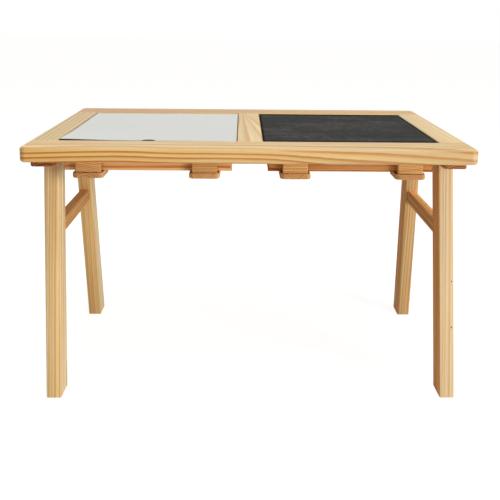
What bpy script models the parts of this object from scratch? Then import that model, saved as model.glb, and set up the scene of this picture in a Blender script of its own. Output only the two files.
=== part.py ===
"""A children's activity table in pine, with a white board and a chalkboard that lift out over two trays.

Metres, +Z up. The origin is on the floor under the middle of the top. X runs along the table's
length and -Y is its front. Left and right are as seen from the front.
"""

import math

import bmesh
import bpy
from mathutils import Vector

# The table over all
TABLE_WIDTH = 0.830
TABLE_DEPTH = 0.580
TABLE_HEIGHT = 0.506

# Fits: the gap between pieces that touch, how far a cut runs past the face that it opens, and how
# far a tenon's own block reaches back into the piece that it is part of
FIT_GAP = 0.0003
CUT_OVERRUN = 0.002
TENON_ROOT = 0.004

# Modelling: how close two coordinates are that count as one, and the sharpest edge shaded smooth
SAME_PLACE = 0.00005
SMOOTH_ANGLE = math.radians(35)

# Top frame: two rails along X and three stiles between them
FRAME_THICKNESS = 0.028
RAIL_WIDTH = 0.0825
SIDE_STILE_WIDTH = 0.052
CENTRE_STILE_WIDTH = 0.048
PLAN_CORNER_RADIUS = 0.013
OUTER_EDGE_RADIUS = 0.005
OPENING_EDGE_RADIUS = 0.002
STILE_TENON_LENGTH = 0.025
STILE_TENON_THICKNESS = 0.010
STILE_TENON_SHOULDER = 0.009

# Writing boards and the ledges that carry them
BOARD_THICKNESS = 0.006
BOARD_CLEARANCE = 0.002
BOARD_RECESS = 0.0013
BOARD_EDGE_RADIUS = 0.0006
NOTCH_RADIUS = 0.01325
LEDGE_WIDTH = 0.009
LEDGE_HEIGHT = 0.012

# Trays
TRAY_LEDGE_CLEARANCE = 0.0012
TRAY_RAIL_CLEARANCE = 0.002
TRAY_FINGER_ROOM = 0.0129
TRAY_WALL_THICKNESS = 0.012
TRAY_EDGE_RADIUS = 0.003
TRAY_BASE_THICKNESS = 0.0024
TRAY_BASE_INSET = 0.006
TONGUE_THICKNESS = 0.004
TONGUE_LENGTH = 0.005
TONGUE_SHOULDER = 0.006

# Hangers: an upright block under the rail and a rounded plate under the block. The distances are from
# an opening's outer and inner edge to the middle of the hanger near it
HANGER_OUTER_DISTANCE = 0.0578
HANGER_INNER_DISTANCE = 0.0622
HANGER_DROP = 0.0305
HANGER_BLOCK_WIDTH = 0.0487
HANGER_BLOCK_DEPTH = 0.014
HANGER_BLOCK_EDGE_RADIUS = 0.003
HANGER_PLATE_WIDTH = 0.0585
HANGER_PLATE_DEPTH = 0.065
HANGER_PLATE_THICKNESS = 0.0108
HANGER_PLATE_LIP = 0.0055
HANGER_PLATE_CORNER_RADIUS = 0.010
HANGER_PLATE_EDGE_RADIUS = 0.0025

# Trestles: a batten on two splayed legs with a stretcher between them. The trestles also lean a little
# to the right as they go down, as in the photograph; a lean of zero sets them upright
BATTEN_THICKNESS = 0.020
BATTEN_OUTER_SETBACK = 0.0025
BATTEN_INNER_SETBACK = 0.005
BATTEN_RAIL_LAP = 0.0175
BATTEN_CORNER_RADIUS = 0.006
BATTEN_EDGE_RADIUS = 0.003
LEG_WIDTH = 0.029
LEG_DEPTH = 0.055
LEG_FOOT_SETBACK = 0.047
LEG_INNER_SETBACK = 0.0045
LEG_SPLAY = math.radians(9.5)
TRESTLE_LEAN = math.radians(0.85)
LEG_EDGE_RADIUS = 0.0025
LEG_TENON_WIDTH = 0.013
LEG_TENON_DEPTH = 0.034
LEG_TENON_LENGTH = 0.012
STRETCHER_THICKNESS = 0.020
STRETCHER_HEIGHT = 0.028
STRETCHER_BOTTOM = 0.304
STRETCHER_EDGE_RADIUS = 0.002
STRETCHER_TENON_THICKNESS = 0.010
STRETCHER_TENON_HEIGHT = 0.018
STRETCHER_TENON_LENGTH = 0.020

# Countersunk screws
SCREW_HEAD_RADIUS = 0.004
SCREW_HEAD_RIM = 0.0004
SCREW_HEAD_HEIGHT = 0.003
SCREW_SHANK_RADIUS = 0.002
SCREW_TIP_LENGTH = 0.004
SCREW_SOCKET_RADIUS = 0.0013
SCREW_SOCKET_DEPTH = 0.0015
SCREW_SINK = 0.0005
SCREW_BITE = 0.0155

# Facets round a screw and round the whole circle that a notch is half of
SCREW_SIDES = 12
NOTCH_SIDES = 40

# Heights, worked down from the top and up from the floor
frame_bottom = TABLE_HEIGHT - FRAME_THICKNESS
frame_middle = TABLE_HEIGHT - FRAME_THICKNESS / 2
board_bottom = TABLE_HEIGHT - BOARD_RECESS - BOARD_THICKNESS
ledge_top = board_bottom - FIT_GAP
plate_top = frame_bottom - HANGER_DROP
plate_bottom = plate_top - HANGER_PLATE_THICKNESS
tray_base_bottom = plate_top + FIT_GAP
tray_wall_height = board_bottom - TRAY_FINGER_ROOM - tray_base_bottom
batten_bottom = frame_bottom - FIT_GAP - BATTEN_THICKNESS
leg_top = batten_bottom - FIT_GAP
stretcher_middle = STRETCHER_BOTTOM + STRETCHER_HEIGHT / 2
hanger_screw_length = frame_bottom + SCREW_BITE - plate_bottom - SCREW_SINK
batten_screw_length = frame_bottom + SCREW_BITE - batten_bottom - SCREW_SINK

# Places in plan
opening_width = (TABLE_WIDTH - 2 * SIDE_STILE_WIDTH - CENTRE_STILE_WIDTH) / 2
opening_depth = TABLE_DEPTH - 2 * RAIL_WIDTH
opening_x = (CENTRE_STILE_WIDTH + opening_width) / 2
side_stile_x = (TABLE_WIDTH - SIDE_STILE_WIDTH) / 2
rail_y = (TABLE_DEPTH - RAIL_WIDTH) / 2
tray_width = opening_width - 2 * (FIT_GAP + LEDGE_WIDTH + TRAY_LEDGE_CLEARANCE)
tray_depth = opening_depth - 2 * TRAY_RAIL_CLEARANCE
outer_hanger_x = opening_x + opening_width / 2 - HANGER_OUTER_DISTANCE
inner_hanger_x = opening_x - opening_width / 2 + HANGER_INNER_DISTANCE
batten_width = SIDE_STILE_WIDTH - BATTEN_OUTER_SETBACK - BATTEN_INNER_SETBACK
batten_x = TABLE_WIDTH / 2 - BATTEN_OUTER_SETBACK - batten_width / 2
leg_x = batten_x - batten_width / 2 + LEG_INNER_SETBACK + LEG_WIDTH / 2
leg_foot_y = TABLE_DEPTH / 2 - LEG_FOOT_SETBACK - LEG_DEPTH / 2
batten_half_length = opening_depth / 2 + BATTEN_RAIL_LAP

SIDES = {"left": -1, "right": 1}
ENDS = {"front": -1, "back": 1}


def clear_scene():
    for old in list(bpy.data.objects):
        bpy.data.objects.remove(old, do_unlink=True)


def new_collection(name):
    collection = bpy.data.collections.new(name)
    bpy.context.scene.collection.children.link(collection)
    return collection


def material(name, red, green, blue, roughness, metallic=0.0):
    """A Principled material from a colour as a screen shows it, 0 to 255."""
    made = bpy.data.materials.new(name)
    made.use_nodes = True
    shader = made.node_tree.nodes["Principled BSDF"]
    linear = [(channel / 255) ** 2.2 for channel in (red, green, blue)]
    shader.inputs["Base Color"].default_value = (*linear, 1)
    shader.inputs["Roughness"].default_value = roughness
    shader.inputs["Metallic"].default_value = metallic
    return made


def add_object(name, mesh, location, finish=None, parent=None):
    """Puts a mesh in the table's collection at a place in the world, under its parent."""
    made = bpy.data.objects.new(name, mesh)
    table_parts.objects.link(made)
    made.parent = parent
    made.location = Vector(location) - (parent.location if parent else Vector())
    if finish and not mesh.materials:
        mesh.materials.append(finish)
    return made


def add_cutter(name, mesh, location):
    made = bpy.data.objects.new(name, mesh)
    cutters.objects.link(made)
    made.location = location
    made.hide_render = True
    made.display_type = "WIRE"
    return made


def add_empty(name, location):
    made = bpy.data.objects.new(name, None)
    table_parts.objects.link(made)
    made.location = location
    return made


def boolean(target, operation, other):
    made = target.modifiers.new(f"{operation.lower()} {other.name}", "BOOLEAN")
    made.operation = operation
    made.object = other
    made.solver = "EXACT"


def block(size):
    """A bmesh box of this size about its own middle."""
    shape = bmesh.new()
    bmesh.ops.create_cube(shape, size=1)
    bmesh.ops.scale(shape, vec=size, verts=shape.verts)
    return shape


def round_edges(shape, radius, segments, chosen):
    """Rounds the edges for which chosen(middle of the edge, its direction) is true."""
    picked = []
    for edge in shape.edges:
        start, end = (vertex.co for vertex in edge.verts)
        if chosen((start + end) / 2, (end - start).normalized()):
            picked.append(edge)
    bmesh.ops.bevel(
        shape, geom=picked, offset=radius, offset_type="OFFSET", segments=segments,
        profile=0.5, affect="EDGES", clamp_overlap=True,
    )


def finish_mesh(name, shape):
    bmesh.ops.recalc_face_normals(shape, faces=shape.faces)
    mesh = bpy.data.meshes.new(name)
    shape.to_mesh(mesh)
    shape.free()
    mesh.shade_smooth()
    mesh.set_sharp_from_angle(angle=SMOOTH_ANGLE)
    return mesh


def along(direction, axis):
    """True where a direction runs along axis 0, 1 or 2, whichever way it points."""
    return abs(direction[axis]) > math.cos(math.radians(1))


def at(value, place):
    """True where a coordinate lies on a place."""
    return abs(value - place) < SAME_PLACE


def tenon_joint(name, tongue_piece, socket_piece, shoulder, direction, section, length, slope_run=0):
    """A tenon on one piece, from its shoulder along a direction, in a socket of the other piece.

    Where the two faces that meet are sloped, slope_run is how far they lean over half the tenon.
    """
    direction = Vector(direction)
    run = Vector(map(abs, direction))
    around = Vector([FIT_GAP if not part else 0 for part in run])
    root, overrun = TENON_ROOT + slope_run, CUT_OVERRUN + slope_run
    tenon_size = Vector(section) + run * (root + length)
    socket_size = Vector(section) + 2 * around + run * (overrun + length + FIT_GAP)
    tenon = add_cutter(
        f"{name}_tenon",
        finish_mesh(f"{name}_tenon", block(tenon_size)),
        Vector(shoulder) + direction * (length - root) / 2,
    )
    socket = add_cutter(
        f"{name}_socket",
        finish_mesh(f"{name}_socket", block(socket_size)),
        Vector(shoulder) + direction * (length + FIT_GAP - overrun) / 2,
    )
    boolean(tongue_piece, "UNION", tenon)
    boolean(socket_piece, "DIFFERENCE", socket)


def turned(name, profile):
    """A mesh turned about Z from (radius, height) points that run from the top down the outside."""
    outline = bpy.data.meshes.new(f"{name}_profile")
    points = [(radius, 0, height) for radius, height in profile]
    edges = [(index, index + 1) for index in range(len(points) - 1)]
    outline.from_pydata(points, edges, [])
    holder = bpy.data.objects.new(f"{name}_profile", outline)
    cutters.objects.link(holder)
    screw = holder.modifiers.new("turn", "SCREW")
    screw.axis = "Z"
    screw.steps = screw.render_steps = SCREW_SIDES
    screw.use_merge_vertices = True
    screw.merge_threshold = SAME_PLACE
    graph = bpy.context.evaluated_depsgraph_get()
    mesh = bpy.data.meshes.new_from_object(holder.evaluated_get(graph))
    mesh.name = name
    bpy.data.objects.remove(holder)
    mesh.set_sharp_from_angle(angle=SMOOTH_ANGLE)
    return mesh


def screw_profile(length):
    return [
        (0, length),
        (SCREW_SHANK_RADIUS, length - SCREW_TIP_LENGTH),
        (SCREW_SHANK_RADIUS, SCREW_HEAD_HEIGHT),
        (SCREW_HEAD_RADIUS, SCREW_HEAD_RIM),
        (SCREW_HEAD_RADIUS, 0),
        (SCREW_SOCKET_RADIUS, 0),
        (SCREW_SOCKET_RADIUS, SCREW_SOCKET_DEPTH),
        (0, SCREW_SOCKET_DEPTH),
    ]


def screw_hole_profile(length):
    """The screw's own profile, wider by the fit gap and open through the face that the head lies in."""
    return [
        (0, length + FIT_GAP),
        (SCREW_SHANK_RADIUS + FIT_GAP, length + FIT_GAP - SCREW_TIP_LENGTH),
        (SCREW_SHANK_RADIUS + FIT_GAP, SCREW_HEAD_HEIGHT + FIT_GAP),
        (SCREW_HEAD_RADIUS + FIT_GAP, SCREW_HEAD_RIM + FIT_GAP),
        (SCREW_HEAD_RADIUS + FIT_GAP, -CUT_OVERRUN),
        (0, -CUT_OVERRUN),
    ]


def drive_screw(name, meshes, point, pieces):
    """A screw with its head sunk in the lowest piece, at point on that piece's underside."""
    screw_mesh, hole_mesh = meshes
    head = Vector(point) + Vector((0, 0, SCREW_SINK))
    add_object(name, screw_mesh, head, steel, table)
    hole = add_cutter(f"{name}_hole", hole_mesh, head)
    for piece in pieces:
        boolean(piece, "DIFFERENCE", hole)


def rail_mesh():
    """The front rail about its own middle. Its outer side is -Y, and two openings are at +Y."""
    shape = block((TABLE_WIDTH, RAIL_WIDTH, FRAME_THICKNESS))
    outer, inner = -RAIL_WIDTH / 2, RAIL_WIDTH / 2

    def outer_corner(middle, direction):
        return along(direction, 2) and at(middle.y, outer)

    def outer_rim(middle, direction):
        return at(abs(middle.z), FRAME_THICKNESS / 2) and not at(middle.y, inner)

    round_edges(shape, PLAN_CORNER_RADIUS, 6, outer_corner)
    round_edges(shape, OUTER_EDGE_RADIUS, 4, outer_rim)
    for side in SIDES.values():
        for end in (-1, 1):
            stop = side * opening_x + end * (opening_width / 2 - OPENING_EDGE_RADIUS)
            rims = [
                edge for edge in shape.edges
                if all(at(vertex.co.y, inner) for vertex in edge.verts)
                and all(at(abs(vertex.co.z), FRAME_THICKNESS / 2) for vertex in edge.verts)
                and (edge.verts[0].co.x - stop) * (edge.verts[1].co.x - stop) < 0
            ]
            for edge in rims:
                first, second = (vertex.co.x for vertex in edge.verts)
                bmesh.utils.edge_split(edge, edge.verts[0], (stop - first) / (second - first))

    def opening_rim(middle, direction):
        on_rim = at(middle.y, inner) and at(abs(middle.z), FRAME_THICKNESS / 2)
        return on_rim and at(abs(middle.x), opening_x)

    round_edges(shape, OPENING_EDGE_RADIUS, 2, opening_rim)
    return finish_mesh("rail", shape)


def stile_mesh(name, width, outer_side):
    """A stile about its own middle. outer_side is -1, 1, or 0 where both edges face an opening."""
    shape = block((width, opening_depth - 2 * FIT_GAP, FRAME_THICKNESS))

    def outer_rim(middle, direction):
        return along(direction, 1) and outer_side and middle.x * outer_side > 0

    def opening_rim(middle, direction):
        on_corner = at(abs(middle.x), width / 2) and at(abs(middle.z), FRAME_THICKNESS / 2)
        return along(direction, 1) and on_corner and middle.x * outer_side <= 0

    round_edges(shape, OPENING_EDGE_RADIUS, 2, opening_rim)
    round_edges(shape, OUTER_EDGE_RADIUS, 4, outer_rim)
    return finish_mesh(name, shape)


def build_top_frame():
    mesh = rail_mesh()
    rails = {}
    for end, sign in ENDS.items():
        rail = add_object(f"{end}_rail", mesh, (0, sign * rail_y, frame_middle), pine, table)
        rail.rotation_euler.z = math.pi if end == "back" else 0
        rails[end] = rail
    plan = {
        "left_stile": (-side_stile_x, SIDE_STILE_WIDTH, -1),
        "centre_stile": (0, CENTRE_STILE_WIDTH, 0),
        "right_stile": (side_stile_x, SIDE_STILE_WIDTH, 1),
    }
    stiles = {}
    for name, (x, width, outer_side) in plan.items():
        mesh = stile_mesh(name, width, outer_side)
        stiles[name] = add_object(name, mesh, (x, 0, frame_middle), pine, table)
        section = (width - 2 * STILE_TENON_SHOULDER, 0, STILE_TENON_THICKNESS)
        for end, sign in ENDS.items():
            shoulder = (x, sign * (opening_depth / 2 - FIT_GAP), frame_middle)
            tenon_joint(
                f"{name}_{end}", stiles[name], rails[end], shoulder, (0, sign, 0), section,
                STILE_TENON_LENGTH,
            )
    return rails, stiles


def build_board(name, x, finish, parent):
    """A thin board with a half-round finger notch in its front edge."""
    width = opening_width - 2 * BOARD_CLEARANCE
    depth = opening_depth - 2 * BOARD_CLEARANCE
    shape = block((width, depth, BOARD_THICKNESS))
    round_edges(shape, BOARD_EDGE_RADIUS, 1, lambda middle, direction: not along(direction, 2))
    centre = Vector((x, 0, board_bottom + BOARD_THICKNESS / 2))
    board = add_object(name, finish_mesh(name, shape), centre, finish, parent)
    shape = bmesh.new()
    bmesh.ops.create_cone(
        shape, cap_ends=True, segments=NOTCH_SIDES, radius1=NOTCH_RADIUS, radius2=NOTCH_RADIUS,
        depth=BOARD_THICKNESS + 2 * CUT_OVERRUN,
    )
    notch = add_cutter(
        f"{name}_notch", finish_mesh(f"{name}_notch", shape), centre - Vector((0, depth / 2, 0))
    )
    boolean(board, "DIFFERENCE", notch)


def build_ledges(board_name, x):
    """The two ledges that carry a board, along the stiles on its left and right."""
    shape = block((LEDGE_WIDTH, opening_depth - 2 * FIT_GAP, LEDGE_HEIGHT))
    mesh = finish_mesh(f"{board_name}_ledge", shape)
    for side, sign in SIDES.items():
        place = x + sign * (opening_width / 2 - FIT_GAP - LEDGE_WIDTH / 2)
        height = ledge_top - LEDGE_HEIGHT / 2
        add_object(f"{board_name}_{side}_ledge", mesh, (place, 0, height), under_pine, table)


def tray_wall_mesh(name, length):
    """A tray wall along X about its own middle, with the edges of its outer face (-Y) rounded."""
    shape = block((length, TRAY_WALL_THICKNESS, tray_wall_height))
    outer = -TRAY_WALL_THICKNESS / 2
    round_edges(
        shape, TRAY_EDGE_RADIUS, 3,
        lambda middle, direction: at(middle.y, outer) and not along(direction, 1),
    )
    return finish_mesh(name, shape)


def build_tray(name, x, tray):
    """Four walls joined by tongues at the corners, and a thin base in a rebate under them."""
    wall_middle = tray_base_bottom + tray_wall_height / 2
    long_mesh = tray_wall_mesh(f"{name}_long_wall", tray_width)
    short_length = tray_depth - 2 * (TRAY_WALL_THICKNESS + FIT_GAP)
    short_mesh = tray_wall_mesh(f"{name}_short_wall", short_length)
    long_walls, short_walls = {}, []
    for end, sign in ENDS.items():
        y = sign * (tray_depth - TRAY_WALL_THICKNESS) / 2
        wall = add_object(f"{name}_{end}_wall", long_mesh, (x, y, wall_middle), under_pine, tray)
        wall.rotation_euler.z = math.pi if end == "back" else 0
        long_walls[end] = wall
    section = (TONGUE_THICKNESS, 0, tray_wall_height - 2 * TONGUE_SHOULDER)
    for side, side_sign in SIDES.items():
        wall_x = x + side_sign * (tray_width - TRAY_WALL_THICKNESS) / 2
        wall = add_object(
            f"{name}_{side}_wall", short_mesh, (wall_x, 0, wall_middle), under_pine, tray
        )
        wall.rotation_euler.z = side_sign * math.pi / 2
        short_walls.append(wall)
        for end, end_sign in ENDS.items():
            tenon_joint(
                f"{name}_{side}_{end}", wall, long_walls[end],
                (wall_x, end_sign * short_length / 2, wall_middle), (0, end_sign, 0), section,
                TONGUE_LENGTH,
            )
    base_size = (
        tray_width - 2 * TRAY_BASE_INSET, tray_depth - 2 * TRAY_BASE_INSET, TRAY_BASE_THICKNESS
    )
    base_middle = tray_base_bottom + TRAY_BASE_THICKNESS / 2
    mesh = finish_mesh(f"{name}_base", block(base_size))
    add_object(f"{name}_base", mesh, (x, 0, base_middle), hardboard, tray)
    rebate_size = Vector(base_size) + Vector((2 * FIT_GAP, 2 * FIT_GAP, FIT_GAP + CUT_OVERRUN))
    rebate = add_cutter(
        f"{name}_rebate", finish_mesh(f"{name}_rebate", block(rebate_size)),
        (x, 0, base_middle + (FIT_GAP - CUT_OVERRUN) / 2),
    )
    for wall in (*long_walls.values(), *short_walls):
        boolean(wall, "DIFFERENCE", rebate)


def hanger_block_mesh():
    shape = block((HANGER_BLOCK_WIDTH, HANGER_BLOCK_DEPTH, HANGER_DROP - 2 * FIT_GAP))
    round_edges(
        shape, HANGER_BLOCK_EDGE_RADIUS, 3,
        lambda middle, direction: along(direction, 2) and middle.y < 0,
    )
    return finish_mesh("hanger_block", shape)


def hanger_plate_mesh():
    shape = block((HANGER_PLATE_WIDTH, HANGER_PLATE_DEPTH, HANGER_PLATE_THICKNESS))
    round_edges(
        shape, HANGER_PLATE_CORNER_RADIUS, 5, lambda middle, direction: along(direction, 2)
    )
    round_edges(
        shape, HANGER_PLATE_EDGE_RADIUS, 2,
        lambda middle, direction: at(abs(middle.z), HANGER_PLATE_THICKNESS / 2),
    )
    return finish_mesh("hanger_plate", shape)


def screw_meshes(name, length):
    return turned(name, screw_profile(length)), turned(f"{name}_hole", screw_hole_profile(length))


def build_hangers(rails):
    block_mesh = hanger_block_mesh()
    plate_mesh = hanger_plate_mesh()
    meshes = screw_meshes("hanger_screw", hanger_screw_length)
    places = (-outer_hanger_x, -inner_hanger_x, inner_hanger_x, outer_hanger_x)
    block_y = opening_depth / 2 + HANGER_BLOCK_DEPTH / 2
    plate_y = opening_depth / 2 + HANGER_BLOCK_DEPTH + HANGER_PLATE_LIP - HANGER_PLATE_DEPTH / 2
    for end, sign in ENDS.items():
        for number, x in enumerate(places, 1):
            name = f"{end}_hanger"
            upright = add_object(
                f"{name}_block_{number}", block_mesh,
                (x, sign * block_y, frame_bottom - HANGER_DROP / 2), under_pine, table,
            )
            plate = add_object(
                f"{name}_plate_{number}", plate_mesh,
                (x, sign * plate_y, (plate_top + plate_bottom) / 2), under_pine, table,
            )
            upright.rotation_euler.z = plate.rotation_euler.z = math.pi if end == "back" else 0
            drive_screw(
                f"{name}_screw_{number}", meshes, (x, sign * block_y, plate_bottom),
                (plate, upright, rails[end]),
            )


def leg_inner_y(height):
    """How far a leg's inner face is from the table's middle at a height."""
    return leg_foot_y - LEG_DEPTH / 2 - math.tan(LEG_SPLAY) * height


def trestle_shift(height):
    """How far to the right of its top a trestle is at a height."""
    return math.tan(TRESTLE_LEAN) * (leg_top - height)


def leg_mesh(end_sign):
    """A front leg (-1) or back leg (1) in its place in height and depth, with the middle of its top at X = 0."""
    shape = block((LEG_WIDTH, LEG_DEPTH, leg_top))
    bmesh.ops.translate(shape, vec=(0, end_sign * leg_foot_y, leg_top / 2), verts=shape.verts)
    for vertex in shape.verts:
        vertex.co.y -= end_sign * math.tan(LEG_SPLAY) * vertex.co.z
        vertex.co.x += trestle_shift(vertex.co.z)
    round_edges(shape, LEG_EDGE_RADIUS, 3, lambda middle, direction: not at(direction.z, 0))
    return finish_mesh("leg", shape)


def stretcher_mesh():
    """A stretcher about its own middle, with its ends cut to the slope of the legs."""
    shape = block((STRETCHER_THICKNESS, 2 * leg_inner_y(stretcher_middle), STRETCHER_HEIGHT))
    for vertex in shape.verts:
        half_length = leg_inner_y(stretcher_middle + vertex.co.z) - FIT_GAP
        vertex.co.y = math.copysign(half_length, vertex.co.y)
    round_edges(
        shape, STRETCHER_EDGE_RADIUS, 2, lambda middle, direction: along(direction, 1)
    )
    return finish_mesh("stretcher", shape)


def batten_mesh():
    shape = block((batten_width, 2 * batten_half_length, BATTEN_THICKNESS))
    round_edges(shape, BATTEN_CORNER_RADIUS, 4, lambda middle, direction: along(direction, 2))
    round_edges(
        shape, BATTEN_EDGE_RADIUS, 2, lambda middle, direction: at(middle.z, -BATTEN_THICKNESS / 2)
    )
    return finish_mesh("batten", shape)


def build_trestles(stiles):
    leg_meshes = {end: leg_mesh(end_sign) for end, end_sign in ENDS.items()}
    bars_mesh, tops_mesh = stretcher_mesh(), batten_mesh()
    meshes = screw_meshes("batten_screw", batten_screw_length)
    end_screw_y = (leg_inner_y(leg_top) + LEG_DEPTH + opening_depth / 2) / 2
    slope_run = math.tan(LEG_SPLAY) * STRETCHER_TENON_HEIGHT / 2
    for side, sign in SIDES.items():
        batten = add_object(
            f"{side}_batten", tops_mesh,
            (sign * batten_x, 0, batten_bottom + BATTEN_THICKNESS / 2), under_pine, table,
        )
        stretcher_x = sign * leg_x + trestle_shift(stretcher_middle)
        stretcher = add_object(
            f"{side}_stretcher", bars_mesh, (stretcher_x, 0, stretcher_middle), under_pine, table
        )
        for end, end_sign in ENDS.items():
            leg = add_object(
                f"{side}_{end}_leg", leg_meshes[end], (sign * leg_x, 0, 0), pine, table
            )
            top_y = end_sign * (leg_inner_y(leg_top) + LEG_DEPTH / 2)
            tenon_joint(
                f"{side}_{end}_leg", leg, batten, (sign * leg_x, top_y, leg_top), (0, 0, 1),
                (LEG_TENON_WIDTH, LEG_TENON_DEPTH, 0), LEG_TENON_LENGTH,
            )
            end_y = end_sign * (leg_inner_y(stretcher_middle) - FIT_GAP)
            tenon_joint(
                f"{side}_{end}_stretcher", stretcher, leg,
                (stretcher_x, end_y, stretcher_middle), (0, end_sign, 0),
                (STRETCHER_TENON_THICKNESS, 0, STRETCHER_TENON_HEIGHT), STRETCHER_TENON_LENGTH,
                slope_run,
            )
        for number, y in enumerate((-end_screw_y, 0, end_screw_y), 1):
            drive_screw(
                f"{side}_batten_screw_{number}", meshes, (sign * batten_x, y, batten_bottom),
                (batten, stiles[f"{side}_stile"]),
            )


clear_scene()
table_parts = new_collection("activity_table")
cutters = new_collection("cutters")

pine = material("pine", 222, 190, 140, 0.45)
under_pine = material("under_pine", 190, 130, 80, 0.5)
white_face = material("white_face", 214, 215, 210, 0.3)
chalk_face = material("chalk_face", 60, 60, 58, 0.8)
hardboard = material("hardboard", 120, 85, 55, 0.7)
steel = material("steel", 180, 180, 178, 0.35, 1.0)

table = add_empty("table", (0, 0, 0))
rails, stiles = build_top_frame()
for board_name, tray_name, side, finish in (
    ("white_board", "left_tray", "left", white_face),
    ("chalkboard", "right_tray", "right", chalk_face),
):
    x = SIDES[side] * opening_x
    tray = add_empty(f"{tray_name}_slide", (x, 0, tray_base_bottom))
    build_ledges(board_name, x)
    build_tray(tray_name, x, tray)
    build_board(board_name, x, finish, tray)
build_hangers(rails)
build_trestles(stiles)
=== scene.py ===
# %% [markdown]
# # A children's activity table in pine
#
# The real table is a frame of pine boards on two splayed trestles. A white board and a chalkboard lie
# in its two openings and lift out, and under each one hangs a shallow tray. This file dresses the
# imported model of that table: it keeps every size and place, and gives each board the rounded edges,
# joints, grain and lacquer of the real one.
#
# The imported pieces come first, because everything else is measured from them.

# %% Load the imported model
import math
import random

import bpy
from mathutils import Matrix, Vector


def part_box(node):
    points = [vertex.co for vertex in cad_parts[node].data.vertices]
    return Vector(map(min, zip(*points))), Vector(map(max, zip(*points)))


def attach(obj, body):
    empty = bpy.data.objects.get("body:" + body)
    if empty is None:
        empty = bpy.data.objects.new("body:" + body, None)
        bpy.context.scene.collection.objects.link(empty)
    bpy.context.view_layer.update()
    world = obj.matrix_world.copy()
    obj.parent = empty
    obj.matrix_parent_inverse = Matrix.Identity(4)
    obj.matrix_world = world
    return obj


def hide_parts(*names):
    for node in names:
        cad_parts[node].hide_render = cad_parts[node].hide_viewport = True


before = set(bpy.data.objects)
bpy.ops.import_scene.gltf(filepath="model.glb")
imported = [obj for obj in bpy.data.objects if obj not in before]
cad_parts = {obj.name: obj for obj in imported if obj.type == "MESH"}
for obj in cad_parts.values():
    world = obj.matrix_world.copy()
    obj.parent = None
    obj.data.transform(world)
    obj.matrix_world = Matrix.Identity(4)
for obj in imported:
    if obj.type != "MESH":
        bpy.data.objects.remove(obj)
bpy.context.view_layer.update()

# %% [markdown]
# ## Camera
#
# The picture is square and was taken from the front, a little above the top, with a medium lens. The
# camera looks down 10 degrees, and the picture was cut so that the lens's axis lies in its upper
# half. A shift does the same here: it slides the picture over the sensor without turning the camera.

# %% The camera
IMAGE_SIDE = 500
FOCAL_PIXELS = 780.28
AXIS_PIXEL = (259.64, 154.53)
CAMERA_PLACE = (-0.0148, -1.6684, 0.7485)
LOOK_DOWN = math.radians(10.38)
LOOK_ASIDE = math.radians(-1.301)
CAMERA_TILT = math.radians(0.615)

bpy.ops.object.select_all(action="DESELECT")
bpy.ops.object.camera_add(location=CAMERA_PLACE)
camera = bpy.context.object
camera.rotation_euler = (
    Matrix.Rotation(LOOK_ASIDE, 3, "Z")
    @ Matrix.Rotation(math.pi / 2 - LOOK_DOWN, 3, "X")
    @ Matrix.Rotation(CAMERA_TILT, 3, "Z")
).to_euler()
camera.data.lens = FOCAL_PIXELS / IMAGE_SIDE * camera.data.sensor_width
camera.data.shift_x = 0.5 - AXIS_PIXEL[0] / IMAGE_SIDE
camera.data.shift_y = AXIS_PIXEL[1] / IMAGE_SIDE - 0.5
bpy.context.scene.camera = camera
print("lens", round(camera.data.lens, 1), "mm")

# %% [markdown]
# ## Building materials from nodes
#
# Every finish below is worked out from nodes, so it has no edge, no seam and no picture file. A node
# tree gets long quickly, so a few helpers add one node each: they take numbers or the outputs of
# other nodes, find the tree that these belong to, wire them up, and hand back the new output.

# %% Node helpers
def from_screen(red, green, blue):
    """A colour as a screen shows it, 0 to 255, in the linear values that shaders use."""
    values = []
    for channel in (red, green, blue):
        share = channel / 255
        values.append(share / 12.92 if share <= 0.04045 else ((share + 0.055) / 1.055) ** 2.4)
    return (*values, 1.0)


def feed(socket, value):
    """Sets a socket, or links it if the value is another node's output."""
    if isinstance(value, bpy.types.NodeSocket):
        socket.id_data.links.new(value, socket)
    else:
        socket.default_value = value


def add_node(kind, *values):
    """Adds a node to the tree that the values come from."""
    tree = next(value.id_data for value in values if isinstance(value, bpy.types.NodeSocket))
    return tree.nodes.new(f"ShaderNode{kind}")


def wire(kind, *values, operation=None):
    """Adds a node, feeds the values to its first inputs in turn, and hands it back."""
    made = add_node(kind, *values)
    if operation:
        made.operation = operation
    for socket, value in zip(made.inputs, values):
        feed(socket, value)
    return made


def maths(operation, *values):
    return wire("Math", *values, operation=operation).outputs[0]


def vectors(operation, *values):
    made = wire("VectorMath", *values, operation=operation)
    return made.outputs["Value" if operation in ("LENGTH", "DISTANCE", "DOT_PRODUCT") else "Vector"]


def noise(place, scale, seed, detail=2.0, output="Fac"):
    """Noise from 0 to 1, as fine along each axis as scale says. Another seed gives another noise."""
    made = wire("TexNoise", vectors("MULTIPLY", place, scale), seed, 1.0, detail)
    made.noise_dimensions = "4D"
    return made.outputs[output]


def remap(value, low, high, to_low=0.0, to_high=1.0):
    """Eases a value from one range into another, and holds it there past the ends."""
    made = wire("MapRange", value, low, high, to_low, to_high)
    made.interpolation_type = "SMOOTHSTEP"
    return made.outputs[0]


def mix(share, first, second, blend="MIX"):
    made = add_node("Mix", share, first, second)
    made.data_type = "RGBA"
    made.blend_type = blend
    for index, value in ((0, share), (6, first), (7, second)):
        feed(made.inputs[index], value)
    return made.outputs[2]


def ramp(value, points):
    """A curve of greys through (place, height) points."""
    made = wire("ValToRGB", value)
    elements = made.color_ramp.elements
    while len(elements) < len(points):
        elements.new(0.5)
    for element, (place, height) in zip(elements, points):
        element.position = place
        element.color = (height, height, height, 1)
    return made.outputs[0]


def tinted(colour, tint):
    """Multiplies a colour by another one, or by a number."""
    return mix(1.0, colour, tint, "MULTIPLY")


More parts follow.
